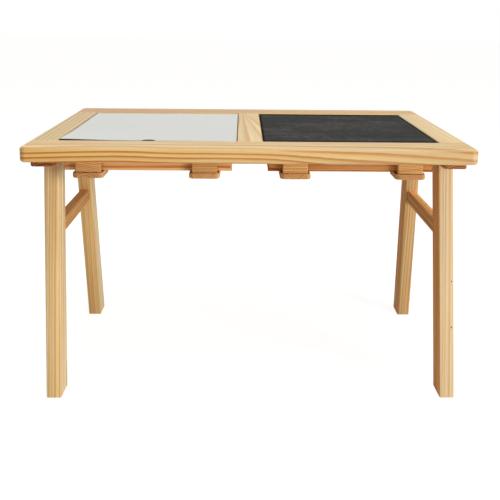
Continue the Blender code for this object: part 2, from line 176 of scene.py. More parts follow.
def attribute(tree, name):
    made = tree.nodes.new("ShaderNodeAttribute")
    made.attribute_name = name
    return made.outputs["Vector"]


def part_of(vector, axis):
    return wire("SeparateXYZ", vector).outputs[axis]


def object_place(tree):
    return tree.nodes.new("ShaderNodeTexCoord").outputs["Object"]


def coat(shader, colour, roughness, height, distance, strength):
    """Wires a finish into its shader: its colour, its roughness, and the bumps that height makes."""
    bumps = add_node("Bump", height)
    bumps.inputs["Distance"].default_value = distance
    bumps.inputs["Strength"].default_value = strength
    feed(bumps.inputs["Height"], height)
    for socket, value in (("Base Color", colour), ("Roughness", roughness), ("Normal", bumps.outputs[0])):
        feed(shader.inputs[socket], value)


def new_material(name, **constants):
    """An empty Principled material, with what is the same all over set on its own sockets."""
    made = bpy.data.materials.new(name)
    made.use_nodes = True
    shader = made.node_tree.nodes["Principled BSDF"]
    for socket, value in constants.items():
        shader.inputs[socket.replace("_", " ")].default_value = value
    return made, made.node_tree, shader


# %% [markdown]
# ## Pine
#
# A board is cut from a trunk, so its pattern is a solid thing: growth rings are tubes round the heart
# of the tree, and each face of the board cuts through them its own way. A picture wrapped round
# the board would break at every edge. Here each vertex of a board carries four attributes. `grain`
# says where in its tree that point grew: how far up the trunk, in metres, and how many rings to the
# side and out from the heart. `board` holds the tree's own seed, how far its rings stray and how
# strong they are. `tint` is the board's own colour, and on some faces also painted light or painted
# shade, and `run` is the direction of the fibres.
#
# The rings are then one line of arithmetic: the distance from the heart is a ring count, its whole
# part names the ring, and its fraction says how far through the year that point grew. The colour
# climbs from pale spring wood to dark late wood and drops sharply at the end of the year.

# %% The growth rings
RING_WAVER = 0.14
YEAR_CHANGE, YEAR_SPREAD = 0.41, (0.35, 0.65)
# How dark the wood turns through each year, from spring wood to late wood
SEASONS = ((0.0, 0.0), (0.05, 0.0), (0.36, 0.14), (0.57, 0.42), (0.7, 1.0), (0.95, 1.0), (1.0, 0.0))


def ring_count(grain, seed, stray):
    """How many rings out from the heart, with the slow wander and small waver of a real trunk."""
    slow = noise(grain, (4.0, 0.13, 0.13), seed, 1.5, "Color")
    sway = vectors("SCALE", vectors("SUBTRACT", slow, (0.5, 0.5, 0.5)))
    feed(sway.node.inputs["Scale"], stray)
    across = vectors("MULTIPLY", vectors("ADD", grain, sway), (0.0, 1.0, 1.0))
    waver = maths("SUBTRACT", noise(grain, (28.0, 1.6, 1.6), seed), 0.5)
    count = maths("ADD", vectors("LENGTH", across), maths("MULTIPLY", waver, RING_WAVER))
    years = add_node("TexNoise", count)
    years.noise_dimensions = "1D"
    years.inputs["Scale"].default_value = YEAR_CHANGE
    years.inputs["Detail"].default_value = 1.0
    feed(years.inputs["W"], maths("ADD", count, maths("MULTIPLY", seed, 17.0)))
    swing = maths("SUBTRACT", years.outputs["Fac"], 0.5)
    return maths("ADD", count, maths("MULTIPLY", swing, stray))


def late_wood(count, seed):
    """How much late wood, from 0 to 1, with some years stronger than others."""
    luck = add_node("TexWhiteNoise", count)
    luck.noise_dimensions = "1D"
    year = maths("FLOOR", count)
    feed(luck.inputs["W"], maths("ADD", year, maths("MULTIPLY", seed, 5.3)))
    strength = maths("MULTIPLY_ADD", luck.outputs["Value"], *YEAR_SPREAD)
    return maths("MULTIPLY", ramp(maths("FRACT", count), SEASONS), strength)


# %% [markdown]
# The rest of the wood is in layers over the rings: slow warm patches, soft bands, fine fibres that
# streak along the run, short dark resin canals, and end grain, which drinks more lacquer and so is
# darker. The top frame has a satin lacquer. The legs and the parts underneath are nearly matt.

# %% Wood from a tree
END_GRAIN_TINT, KNOT_COLOUR = from_screen(232, 214, 196), from_screen(110, 62, 30)


def wood(name, colours, roughness, gloss, knots=()):
    made, tree, shader = new_material(name, Specular_IOR_Level=gloss)
    pale, late, warm = (from_screen(*colour) for colour in colours)
    grain, board = attribute(tree, "grain"), attribute(tree, "board")
    seed, stray, contrast = (part_of(board, axis) for axis in range(3))
    count = ring_count(grain, seed, stray)
    knot_shade = 0.0
    # Round a knot the rings swell, and the knot itself is dark
    for centre, radius in knots:
        away = maths("DIVIDE", vectors("DISTANCE", object_place(tree), centre), radius)
        count = maths("ADD", count, remap(away, 0.4, 3.0, 0.9, 0.0))
        knot_shade = maths("MAXIMUM", knot_shade, remap(away, 0.75, 1.25, 1.0, 0.0))
    late_share = maths("MULTIPLY", late_wood(count, seed), contrast)

    patch = remap(noise(grain, (5.0, 0.35, 0.35), seed), 0.35, 0.68, 0.0, 0.6)
    band = remap(noise(grain, (1.6, 1.3, 1.3), seed), 0.3, 0.7, 0.9, 1.08)
    fibre = noise(grain, (14.0, 22.0, 22.0), seed, 3.0)
    canal = remap(noise(grain, (60.0, 15.0, 15.0), seed, 0.0), 0.70, 0.78, 0.0, 0.14)
    shade = maths("MULTIPLY", remap(fibre, 0.25, 0.75, 0.9, 1.07), band)

    colour = mix(patch, mix(late_share, pale, late), warm, "MULTIPLY")
    colour = tinted(tinted(colour, attribute(tree, "tint")), maths("SUBTRACT", shade, canal))
    normal = tree.nodes.new("ShaderNodeNewGeometry").outputs["Normal"]
    facing = maths("ABSOLUTE", vectors("DOT_PRODUCT", normal, attribute(tree, "run")))
    colour = mix(remap(facing, 0.6, 0.95), colour, tinted(colour, END_GRAIN_TINT))
    if knots:
        colour = mix(maths("MULTIPLY", knot_shade, 0.8), colour, KNOT_COLOUR)
    relief = maths("ADD", maths("MULTIPLY", late_share, 0.4), maths("MULTIPLY", fibre, 0.6))
    rough = remap(fibre, 0.2, 0.8, roughness - 0.05, roughness + 0.07)
    coat(shader, colour, rough, relief, distance=0.0003, strength=0.35)
    return made


# The colours of spring wood, of late wood and of the warm patches
PINE = ((227, 196, 137), (186, 106, 4), (252, 239, 218))
UNDER_PINE = ((238, 190, 134), (168, 102, 52), (248, 228, 200))
# One leg has two pin knots near its outer edge: where they are, and how wide
PIN_KNOTS = (((0.4008, -0.2048, 0.228), 0.0016), ((0.4012, -0.2198, 0.138), 0.0018))
pine = wood("pine", PINE, roughness=0.42, gloss=0.5)
leg_pine = wood("leg_pine", PINE, roughness=0.55, gloss=0.03)
knotty_pine = wood("knotty_pine", PINE, roughness=0.55, gloss=0.03, knots=PIN_KNOTS)
under_pine = wood("under_pine", UNDER_PINE, roughness=0.6, gloss=0.03)
print("wood:", len(pine.node_tree.nodes), "nodes in its tree")

# %% [markdown]
# ## White board, chalkboard, hardboard and steel
#
# The white board is a hard shiny sheet, so nearly all that shows is a slight unevenness in its gloss.
# The chalkboard is matt paint: dusty clouds where it was wiped, faint streaks from side to side, and a
# border that turns darker and less shiny towards its edges. Hardboard is pressed fibre with flecks: the
# trays' bases are a warm brown, and the writing boards' cores are the harder, dark kind, painted nearly
# black to stand also for the shade in the finger notches and along the white board's lifted edge. The
# screws are zinc plated steel.

# %% The white board's face
def two_tone(share, dark, light, low=0.3, high=0.7):
    """Eases from one colour into another, over the range that most of a noise is in."""
    return mix(remap(share, low, high), from_screen(*dark), from_screen(*light))


white_face, tree, shader = new_material("white_face", Specular_IOR_Level=0.3)
place = object_place(tree)
cloud, wiped = noise(place, (7.0, 7.0, 7.0), 3.1, 3.0), noise(place, (160.0, 9.0, 9.0), 8.4)
share = maths("ADD", maths("MULTIPLY", cloud, 0.8), maths("MULTIPLY", wiped, 0.2))
colour = two_tone(share, (184, 188, 182), (190, 192, 184))
coat(shader, colour, remap(share, 0.3, 0.7, 0.1, 0.16), cloud, distance=0.0004, strength=0.2)
print("white face:", len(tree.nodes), "nodes")

# %% The chalkboard's face
# How far the darker border reaches in from the sides, and from the front and back
CHALK_BORDER = (0.006, 0.034)

chalk_face, tree, shader = new_material("chalk_face")
place = object_place(tree)
low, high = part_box("chalkboard")
away = vectors("ABSOLUTE", vectors("SUBTRACT", place, tuple((low + high) / 2)))
half = (high - low) / 2
sides = (remap(part_of(away, axis), half[axis] - CHALK_BORDER[axis], half[axis]) for axis in (0, 1))
border = maths("MAXIMUM", *sides)
dust = noise(place, (80.0, 40.0, 30.0), 3.3, 3.0)
cloud = noise(place, (9.0, 12.0, 9.0), 1.7, 4.0)
streak = noise(place, (4.0, 48.0, 5.0), 5.2, 4.0)
colour = two_tone(cloud, (31, 32, 31), (55, 53, 52), 0.4, 0.65)
dusty = remap(dust, 0.35, 0.65, 0.78, 1.26)
shade = maths("MULTIPLY", remap(streak, 0.3, 0.7, 0.7, 1.45), dusty)
shade = maths("MULTIPLY", shade, remap(border, 0.0, 1.0, 1.0, 0.3))
feed(shader.inputs["Specular IOR Level"], remap(border, 0.0, 1.0, 0.12, 0.0))
rough, tooth = remap(cloud, 0.3, 0.7, 0.8, 0.92), noise(place, (900.0, 900.0, 900.0), 0.4)
coat(shader, tinted(colour, shade), rough, tooth, distance=0.0002, strength=0.2)
print("chalk face:", len(tree.nodes), "nodes")


# %% Hardboard and steel
def make_hardboard(name, dark, light):
    made, tree, shader = new_material(name, Specular_IOR_Level=0.3)
    place = object_place(tree)
    fleck = noise(place, (420.0, 420.0, 420.0), 2.2, 4.0)
    cloud = noise(place, (30.0, 30.0, 30.0), 6.5, 3.0)
    colour = tinted(two_tone(fleck, dark, light), remap(cloud, 0.3, 0.7, 0.9, 1.08))
    coat(shader, colour, remap(fleck, 0.3, 0.7, 0.6, 0.8), fleck, distance=0.0002, strength=0.4)
    return made


hardboard = make_hardboard("hardboard", (104, 72, 46), (146, 106, 70))
# The cores are dark hardboard, painted nearly black as painted shade for the notches and the lifted edge
dark_hardboard_and_shade = make_hardboard("dark_hardboard_and_shade", (34, 22, 15), (60, 40, 27))

steel, tree, shader = new_material("steel", Metallic=1.0)
cloud = noise(object_place(tree), (700.0, 700.0, 700.0), 4.4, 3.0)
colour = two_tone(cloud, (168, 166, 158), (206, 204, 196))
coat(shader, colour, remap(cloud, 0.3, 0.7, 0.26, 0.42), cloud, distance=0.0001, strength=0.2)
print("finishes:", sorted(made.name for made in bpy.data.materials if made.users == 0))

# %% [markdown]
# ## Modelling by hand, in code
#
# A board starts as a cube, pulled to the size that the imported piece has. In edit mode its edges are
# picked by where they lie and which way they run, as one would click them, and rounded with Bevel.
# Before each step everything is deselected, because operators act on all that is selected.

# %% Modelling helpers
TOUCH_GAP = 0.0003
SAME_PLACE = 0.00005
X, Y, Z = (1, 0, 0), (0, 1, 0), (0, 0, 1)
SMOOTH_ANGLE = math.radians(40)


def activate(piece):
    bpy.ops.object.select_all(action="DESELECT")
    bpy.context.view_layer.objects.active = piece
    piece.select_set(True)


def add_object(name, operator, **settings):
    """Runs an operator that adds an object, with nothing else selected, and names what it made."""
    bpy.ops.object.select_all(action="DESELECT")
    operator(**settings)
    made = bpy.context.object
    made.name = made.data.name = name
    return made


def start_box(name, low, high):
    """A cube pulled out to fill the box between two corners, with its place in its mesh."""
    low, high = Vector(low), Vector(high)
    piece = add_object(name, bpy.ops.mesh.primitive_cube_add, size=1, location=(low + high) / 2)
    piece.scale = high - low
    bpy.ops.object.transform_apply()
    return piece


def edit(piece, wanted, operator, kind="EDGE", **settings):
    """Selects those edges or faces that wanted(place, direction) takes, and runs an operator on them."""
    activate(piece)
    bpy.ops.object.mode_set(mode="EDIT")
    bpy.ops.mesh.select_mode(type=kind)
    bpy.ops.mesh.select_all(action="DESELECT")
    bpy.ops.object.mode_set(mode="OBJECT")
    if kind == "EDGE":
        for edge in piece.data.edges:
            start, end = (piece.data.vertices[index].co for index in edge.vertices)
            edge.select = bool(wanted((start + end) / 2, (end - start).normalized()))
    else:
        for face in piece.data.polygons:
            face.select = bool(wanted(face.center, face.normal))
    bpy.ops.object.mode_set(mode="EDIT")
    operator(**settings)
    bpy.ops.object.mode_set(mode="OBJECT")


def runs(direction, axis):
    """True where a direction runs along axis 0, 1 or 2, either way."""
    return abs(direction[axis]) > 0.999


def edges_along(axis):
    return lambda place, direction: runs(direction, axis)


def edges_at(axis, *levels):
    """Edges whose middle is at one of these places along an axis."""
    return lambda place, direction: any(at(place[axis], level) for level in levels)


def faces_up(centre, normal):
    return normal.z > 0.9


def at(value, place):
    return abs(value - place) < SAME_PLACE


def round_edges(piece, radius, segments, wanted):
    edit(piece, wanted, bpy.ops.mesh.bevel, offset=radius, segments=segments, affect="EDGES")


def subdivide(piece, axis, cuts):
    edit(piece, edges_along(axis), bpy.ops.mesh.subdivide, number_cuts=cuts)


def slice_across(piece, place, normal):
    """Adds a loop of edges where a plane cuts the piece."""
    edit(piece, lambda *face: True, bpy.ops.mesh.bisect, "FACE", plane_co=place, plane_no=normal)


def combine(piece, operation, other):
    activate(piece)
    modifier = piece.modifiers.new(operation.lower(), "BOOLEAN")
    modifier.operation = operation
    modifier.object = other
    modifier.solver = "EXACT"
    bpy.ops.object.modifier_apply(modifier=modifier.name)
    bpy.data.objects.remove(other)


def copy_of(piece, name, move=(0, 0, 0), turn=0.0):
    """A copy with a mesh of its own, turned about the table's middle and then moved."""
    activate(piece)
    bpy.ops.object.duplicate(linked=False)
    twin = bpy.context.object
    twin.name = twin.data.name = name
    twin.location = move
    twin.rotation_euler.z = turn
    bpy.ops.object.transform_apply()
    return twin


# %% [markdown]
# ## Joints and screw holes
#
# The boards meet in real joints: a tenon, a tongue on the end of one board, sits in a socket cut in the
# other. They don't show until the table comes apart, but they belong to its pieces. Each is two boxes,
# one united with its board and one, a hair larger, cut from the other.

# %% Tenons and sockets
TENON_ROOT = 0.004
CUT_OVERRUN = 0.002


def tenon_joint(tongue, holder, shoulder, direction, section, length, slope_run=0.0):
    """A tenon on one piece in a socket of the other. Section has zero along the tenon's own direction."""
    direction, section, shoulder = Vector(direction), Vector(section), Vector(shoulder)
    around = Vector([0 if part else TOUCH_GAP for part in direction])
    for piece, operation, root, reach, slack in (
        (tongue, "UNION", TENON_ROOT, length, Vector()),
        (holder, "DIFFERENCE", CUT_OVERRUN, length + TOUCH_GAP, around),
    ):
        base, tip = shoulder - direction * (root + slope_run), shoulder + direction * reach
        low = Vector(map(min, base, tip)) - section / 2 - slack
        high = Vector(map(max, base, tip)) + section / 2 + slack
        combine(piece, operation, start_box("tenon", low, high))


# %% [markdown]
# ## Laying the grain
#
# A flow takes a point of the board and says where in its tree it grew. For most boards the trunk
# is straight: one direction runs along it, and the heart lies so far across and so far
# above or below the board's middle. Boards with a heart far to the side show straight lines on top,
# and boards with a heart below them show broad flames.

# %% Grain flows
chance = random.Random(11)


def straight_flow(middle, along, across, heart, ring):
    """The flow of a straight trunk: heart is how far across and up it lies, ring how wide a year is."""
    middle, along, across = Vector(middle), Vector(along).normalized(), Vector(across).normalized()
    up = along.cross(across)
    slide = chance.uniform(0, 3)

    def flow(place):
        offset = place - middle
        return (
            offset.dot(along) + slide,
            (offset.dot(across) - heart[0]) / ring,
            (offset.dot(up) - heart[1]) / ring,
        )

    return flow


def lay_grain(piece, flow, run, tint=(1, 1, 1), contrast=1.0, stray=1.0):
    """Stores the grain, the board's own character and its run on every vertex.

    The tint and the contrast are each one value, or a function from a place to a value.
    """
    seed = chance.uniform(0, 20)
    rows = {
        "grain": flow,
        "board": lambda place: (seed, stray, contrast(place) if callable(contrast) else contrast),
        "tint": tint if callable(tint) else lambda place: tint,
        "run": lambda place: Vector(run).normalized(),
    }
    for name, value in rows.items():
        held = piece.data.attributes.new(name, "FLOAT_VECTOR", "POINT")
        for vertex in piece.data.vertices:
            held.data[vertex.index].vector = value(vertex.co)


def finish(piece, material, slot, *nodes, body="table"):
    """Shades a finished piece, gives it its material and puts it on its body in place of its nodes."""
    activate(piece)
    bpy.ops.object.shade_smooth_by_angle(angle=SMOOTH_ANGLE)
    piece.data.materials.clear()
    piece.data.materials.append(material)
    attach(piece, body)
    if nodes:
        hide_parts(*nodes)


def middle_of(node):
    low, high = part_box(node)
    return (low + high) / 2


def dress(piece, node, run, across, heart, ring, tint=(1, 1, 1), contrast=1.0, slant=0.0, body="table"):
    """Lays a straight trunk's grain in a piece of the darker pine, and finishes it."""
    flow = straight_flow(middle_of(node), Vector(run) + Vector((0, 0, slant)), across, heart, ring)
    lay_grain(piece, flow, run, tint, contrast)
    finish(piece, under_pine, "under_pine", node, body=body)


# %% [markdown]
# ## The two rails
#
# The front rail is the board that shows most. Its corners are rounded in plan, its outer edges are
# rounded over, and beside each opening its inner edge is only eased, which stops where a stile
# butts against it. The cuts along its length are there for the grain, which waves as it does on the
# real board: the flow needs vertices on the way to bend at. One rail is modelled and the back one is
# its copy, turned round.

# %% Model a rail
PLAN_CORNER_RADIUS = 0.013
OUTER_EDGE_RADIUS = 0.005
OPENING_EDGE_RADIUS = 0.002
GRAIN_CUTS = 39

rail_low, rail_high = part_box("front_rail")
stile_boxes = {side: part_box(f"{side}_stile") for side in ("left", "centre", "right")}
# Where the easing of the inner edge starts and stops, beside each opening
eased = [
    (stile_boxes[left][1].x + OPENING_EDGE_RADIUS, stile_boxes[right][0].x - OPENING_EDGE_RADIUS)
    for left, right in (("left", "centre"), ("centre", "right"))
]


def on_rim(place):
    return at(place.z, rail_low.z) or at(place.z, rail_high.z)


front_rail = start_box("front_rail_board", rail_low, rail_high)
subdivide(front_rail, 0, GRAIN_CUTS)
round_edges(
    front_rail, PLAN_CORNER_RADIUS, 10,
    lambda place, direction: runs(direction, 2) and at(place.y, rail_low.y)
    and at(abs(place.x), rail_high.x),
)
round_edges(
    front_rail, OUTER_EDGE_RADIUS, 6,
    lambda place, direction: on_rim(place) and not at(place.y, rail_high.y)
    and (not runs(direction, 1) or at(abs(place.x), rail_high.x)),
)
for stop in sum(eased, ()):
    slice_across(front_rail, (stop, 0, 0), X)
round_edges(
    front_rail, OPENING_EDGE_RADIUS, 4,
    lambda place, direction: runs(direction, 0) and on_rim(place) and at(place.y, rail_high.y)
    and any(low < place.x < high for low, high in eased),
)
back_rail = copy_of(front_rail, "back_rail_board", turn=math.pi)
print("rail:", len(front_rail.data.polygons), "faces")

# %% [markdown]
# ## The three stiles
#
# The side stiles carry the rounded outer edge on from the rails, and their opening edges are eased. The
# centre stile has an opening on both sides. Cuts along their length again let the grain bend.

# %% Model the stiles
STILE_CUTS = 15
STILE_TENON_LENGTH = 0.025
STILE_TENON_THICKNESS = 0.010
STILE_TENON_SHOULDER = 0.009

rails = {-1: front_rail, 1: back_rail}
frame_middle = (rail_low.z + rail_high.z) / 2


def model_stile(side, outer_side):
    """Outer side is -1 where the stile's left edge is the table's own, 1 for the right, or 0."""
    low, high = stile_boxes[side]
    reach = -rail_high.y - TOUCH_GAP
    stile = start_box(f"{side}_stile_board", (low.x, -reach, rail_low.z), (high.x, reach, rail_high.z))
    subdivide(stile, 1, STILE_CUTS)
    middle = (low.x + high.x) / 2
    round_edges(
        stile, OPENING_EDGE_RADIUS, 4,
        lambda place, direction: runs(direction, 1) and on_rim(place)
        and (place.x - middle) * outer_side <= 0,
    )
    if outer_side:
        outer = high.x if outer_side > 0 else low.x
        round_edges(
            stile, OUTER_EDGE_RADIUS, 6,
            lambda place, direction: runs(direction, 1) and on_rim(place) and at(place.x, outer),
        )
    section = (high.x - low.x - 2 * STILE_TENON_SHOULDER, 0, STILE_TENON_THICKNESS)
    for end, rail in rails.items():
        shoulder = (middle, end * reach, frame_middle)
        tenon_joint(stile, rail, shoulder, (0, end, 0), section, STILE_TENON_LENGTH)
    return stile


stiles = {side: model_stile(side, outer) for side, outer in (("left", -1), ("centre", 0), ("right", 1))}
print("stiles:", {side: len(piece.data.polygons) for side, piece in stiles.items()})

# %% [markdown]
# ## The legs, stretchers and battens
#
# Each trestle is two legs that lean towards each other, a stretcher between them and a batten on top.
# On the real table the trestles also lean to the right by less than a degree, as far as the packed
# legs are wider than their timber. A leg is a box whose top face is moved, which keeps the foot
# flat on the floor. The stretcher's ends are moved to lie against the sloping legs. The right
# trestle's boards are modelled and copied to the left, and then the joints are cut on both.

# %% Model the right trestle
LEG_EDGE_RADIUS = 0.0025
FOOT_EDGE_RADIUS = 0.0008
LEG_TENON_SECTION, LEG_TENON_LENGTH = (0.013, 0.034, 0), 0.012
BATTEN_CORNER_RADIUS = 0.006
BATTEN_EDGE_RADIUS = 0.003
STRETCHER_EDGE_RADIUS = 0.002
STRETCHER_TENON_SECTION, STRETCHER_TENON_LENGTH = (0.010, 0, 0.018), 0.020
LEG_SPLAY = math.radians(9.5)
LEG_WIDTH = 0.029
LEG_DEPTH = 0.055

leg_low, leg_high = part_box("right_front_leg")
batten_low, batten_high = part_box("right_batten")
bar_low, bar_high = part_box("right_stretcher")
bar_middle = (bar_low.z + bar_high.z) / 2
leg_top = batten_low.z - TOUCH_GAP
lean = math.tan(LEG_SPLAY)
side_shift = leg_high.x - leg_low.x - LEG_WIDTH


def model_leg(end, name):
    front, back = sorted((-end * leg_low.y, -end * (leg_low.y + LEG_DEPTH)))
    leg = start_box(name, (leg_low.x + side_shift, front, 0), (leg_high.x, back, leg_top))
    move = (-side_shift, -end * lean * leg_top, 0)
    edit(leg, faces_up, bpy.ops.transform.translate, "FACE", value=move)
    round_edges(leg, LEG_EDGE_RADIUS, 4, lambda place, direction: abs(direction.z) > 0.9)
    round_edges(leg, FOOT_EDGE_RADIUS, 2, edges_at(2, 0))
    return leg


def inner_face(height):
    """How far a leg's inner face is from the table's middle at a height."""
    return -(leg_low.y + LEG_DEPTH + lean * height)


ends = {"front": -1, "back": 1}
legs = {("right", name): model_leg(end, f"right_{name}_leg_board") for name, end in ends.items()}

reach = inner_face(bar_middle) - TOUCH_GAP
low, high = (bar_low.x, -reach, bar_low.z), (bar_high.x, reach, bar_high.z)
stretcher = start_box("right_stretcher_board", low, high)
end_slope = lean * (bar_high.z - bar_low.z) / 2
for end in (-1, 1):
    for level in (-1, 1):
        edit(
            stretcher, lambda place, direction: runs(direction, 0) and place.y * end > 0
            and (place.z - bar_middle) * level > 0,
            bpy.ops.transform.translate, value=(0, -end * level * end_slope, 0),
        )
round_edges(stretcher, STRETCHER_EDGE_RADIUS, 3, edges_along(1))

batten = start_box("right_batten_board", batten_low, batten_high)
round_edges(batten, BATTEN_CORNER_RADIUS, 6, edges_along(2))
round_edges(batten, BATTEN_EDGE_RADIUS, 4, edges_at(2, batten_low.z))
print("trestle: it leans", round(side_shift * 1000, 1), "mm to the right")


# %% Copy it to the left, and cut the joints
def left_copy(piece, node):
    """A copy moved from the right trestle's place to the left one's."""
    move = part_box(f"left_{node}")[0].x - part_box(f"right_{node}")[0].x
    return copy_of(piece, f"left_{node}_board", (move, 0, 0))


stretchers, battens = {"right": stretcher}, {"right": batten}
for name in ends:
    legs["left", name] = left_copy(legs["right", name], f"{name}_leg")
stretchers["left"] = left_copy(stretchers["right"], "stretcher")
battens["left"] = left_copy(battens["right"], "batten")

for (side, name), leg in legs.items():
    end = ends[name]
    leg_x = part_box(f"{side}_{name}_leg")[0].x + LEG_WIDTH / 2
    shoulder = (leg_x, end * (inner_face(leg_top) + LEG_DEPTH / 2), leg_top)
    tenon_joint(leg, battens[side], shoulder, Z, LEG_TENON_SECTION, LEG_TENON_LENGTH)
    bar_x = middle_of(f"{side}_stretcher").x
    shoulder = (bar_x, end * reach, bar_middle)
    slope_run = lean * STRETCHER_TENON_SECTION[2] / 2
    tenon_joint(
        stretchers[side], leg, shoulder, (0, end, 0),
        STRETCHER_TENON_SECTION, STRETCHER_TENON_LENGTH, slope_run,
    )
print("trestles:", len(legs), "legs with a tenon at the top and a socket for a stretcher")

# %% [markdown]
# ## Hangers
#
# Eight T-shaped hangers carry the trays: an upright block against the rail's underside and a rounded
# plate across its foot. One screw goes up through both.

# %% Model one hanger
HANGER_BLOCK_EDGE_RADIUS = 0.003
PLATE_CORNER_RADIUS = 0.010
PLATE_EDGE_RADIUS = 0.0025

block_low, block_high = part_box("front_hanger_block_1")
plate_low, plate_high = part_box("front_hanger_plate_1")

hanger_block = start_box("hanger_block", block_low, block_high)
round_edges(
    hanger_block, HANGER_BLOCK_EDGE_RADIUS, 5,
    lambda place, direction: runs(direction, 2) and at(place.y, block_low.y),
)
hanger_plate = start_box("hanger_plate", plate_low, plate_high)
round_edges(hanger_plate, PLATE_CORNER_RADIUS, 8, edges_along(2))
round_edges(hanger_plate, PLATE_EDGE_RADIUS, 4, edges_at(2, plate_low.z, plate_high.z))
print("hanger:", len(hanger_plate.data.polygons), "faces in its plate")

# %% [markdown]
# ## Screws
#
# The screws have countersunk heads with a cross recess, sunk just below the wood. A screw starts as a
# plain cylinder, which is sliced where the head's rim, its cone and the tip begin. The rings of vertices
# there are then scaled, out for the head and in for the tip, and the recess is a small cross of two
# tapered bars cut out of the head. The hole is cut with the same shape, made a hair wider.

# %% Model one screw and its hole
HEAD_RADIUS = 0.004
HEAD_RIM = 0.0004
HEAD_HEIGHT = 0.003
SHANK_RADIUS = 0.002
TIP_LENGTH = 0.004
TIP_SHARE = 0.05
RECESS_REACH = 0.0021
RECESS_WIDTH = 0.0008
RECESS_DEPTH = 0.0016
RECESS_TAPER = (0.35, 0.6, 1)
SCREW_SIDES = 24


def widen(piece, height, factor):
    """Scales the ring of vertices at one height about the screw's axis."""
    edit(
        piece, lambda place, direction: at(place.z, height) and abs(direction.z) < 0.1,
        bpy.ops.transform.resize, value=(factor, factor, 1), center_override=(0, 0, height),
    )


def turned_screw(name, length, slack=0.0):
    """A screw that points up from the origin. Slack makes it wider all round, to cut its hole with."""
    shank, head, tip = SHANK_RADIUS + slack, HEAD_RADIUS + slack, length + slack
    bottom = -CUT_OVERRUN if slack else 0.0
    screw = add_object(
        name, bpy.ops.mesh.primitive_cylinder_add,
        vertices=SCREW_SIDES, radius=shank, depth=tip - bottom, location=(0, 0, (tip + bottom) / 2),
    )
    bpy.ops.object.transform_apply()
    rim = HEAD_RIM + slack
    for height in (rim, HEAD_HEIGHT + slack, tip - TIP_LENGTH):
        slice_across(screw, (0, 0, height), Z)
    for height, factor in ((bottom, head / shank), (rim, head / shank), (tip, TIP_SHARE)):
        widen(screw, height, factor)
    return screw


def model_screw(name, length):
    screw = turned_screw(name, length)
    corner = Vector((RECESS_REACH, RECESS_WIDTH / 2, RECESS_DEPTH))
    for turn in (0.0, math.pi / 2):
        bar = start_box("recess", -corner, corner)
        centre = (0, 0, RECESS_DEPTH)
        edit(bar, faces_up, bpy.ops.transform.resize, "FACE", value=RECESS_TAPER, center_override=centre)
        bar.rotation_euler.z = turn
        combine(screw, "DIFFERENCE", bar)
    return screw


def drill(piece, place, length):
    hole = turned_screw("hole", length, TOUCH_GAP)
    hole.location = place
    combine(piece, "DIFFERENCE", hole)


screw_places = {}
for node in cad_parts:
    if "_screw_" in node:
        middle = middle_of(node)
        screw_places[node] = Vector((middle.x, middle.y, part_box(node)[0].z))
hanger_length, batten_length = (
    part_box(node)[1].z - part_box(node)[0].z for node in ("front_hanger_screw_1", "right_batten_screw_1")
)
hanger_screw = model_screw("hanger_screw", hanger_length)
batten_screw = model_screw("batten_screw", batten_length)
for piece in (hanger_block, hanger_plate):
    drill(piece, screw_places["front_hanger_screw_1"], hanger_length)
for node, place in screw_places.items():
    if "hanger" in node:
        drill(front_rail if place.y < 0 else back_rail, place, hanger_length)
    else:
        side = node.split("_")[0]
        drill(battens[side], place, batten_length)
        drill(stiles[side], place, batten_length)
print("screws:", len(screw_places), "and their holes,", len(hanger_screw.data.polygons), "faces in one")

# %% [markdown]
# ## Copies of what repeats
#
# The hangers and screws are copied to their places. Those at the back are also turned round. Each copy
# has its own mesh, because each hanger will carry its own grain.

# %% Copy the hangers and the screws
hangers = {}
for node in sorted(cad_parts):
    for kind, pattern in (("block", hanger_block), ("plate", hanger_plate)):
        if f"_hanger_{kind}_" in node:
            home, place = middle_of(f"front_hanger_{kind}_1"), middle_of(node)
            turn = 0.0 if place.y < 0 else math.pi
            start = Vector((-home.x, -home.y, home.z)) if turn else home
            hangers[node] = copy_of(pattern, f"{node}_wood", place - start, turn)
for node, place in screw_places.items():
    pattern = hanger_screw if "hanger" in node else batten_screw
    finish(copy_of(pattern, f"{node}_steel", place), steel, "steel", node)
for pattern in (hanger_block, hanger_plate, hanger_screw, batten_screw):
    bpy.data.objects.remove(pattern)
print("hangers:", len(hangers), "pieces")

# %% [markdown]
# ## The grain of the top
#
# On the front rail the rings lie nearly flat and show on its front as three long waving lines, which
# sink to the right and spread there. The line below was set to follow the middle one. Further
# back the rings curve down past the heart, far below, so the top shows broad soft flames. The left
# stile is cut through the side of a tree and has straight stripes, the right one is finer, and on
# the centre stile two lines fan out from the back.

# %% Lay the grain of the rails and stiles
RAIL_RING = 0.0088
RAIL_HEART_DEPTH = 0.075
# Along the rail as a share of its length, and the depth of the waving line under the top
WAVE_LINE = (
    (0.0, 0.0134), (0.05, 0.0123), (0.13, 0.0102), (0.22, 0.0091), (0.32, 0.0115), (0.43, 0.0118),
    (0.55, 0.0130), (0.63, 0.0177), (0.72, 0.0243), (0.81, 0.0286), (0.90, 0.0330), (1.0, 0.0392),
)
# The rings spread to the right: between which shares of the length that grows, and how far
SPREAD_START, SPREAD_END, SPREAD = 0.52, 0.8, 1.7
# Where the centre stile's lines meet, how far from there a ring is as wide as it says, and a shift
FAN_TIP, FAN_DEPTH, FAN_RING, FAN_SHIFT = Vector((-0.015, 0.25, 0)), 0.45, 0.030, 12.4
# Above this height a rail's side is its rounding
ROUNDING_FOOT = rail_high.z - 0.6 * OUTER_EDGE_RADIUS


def rail_share(place):
    """How far along the rail a place is, from 0 at the left to 1."""
    return (place.x - rail_low.x) / (rail_high.x - rail_low.x)


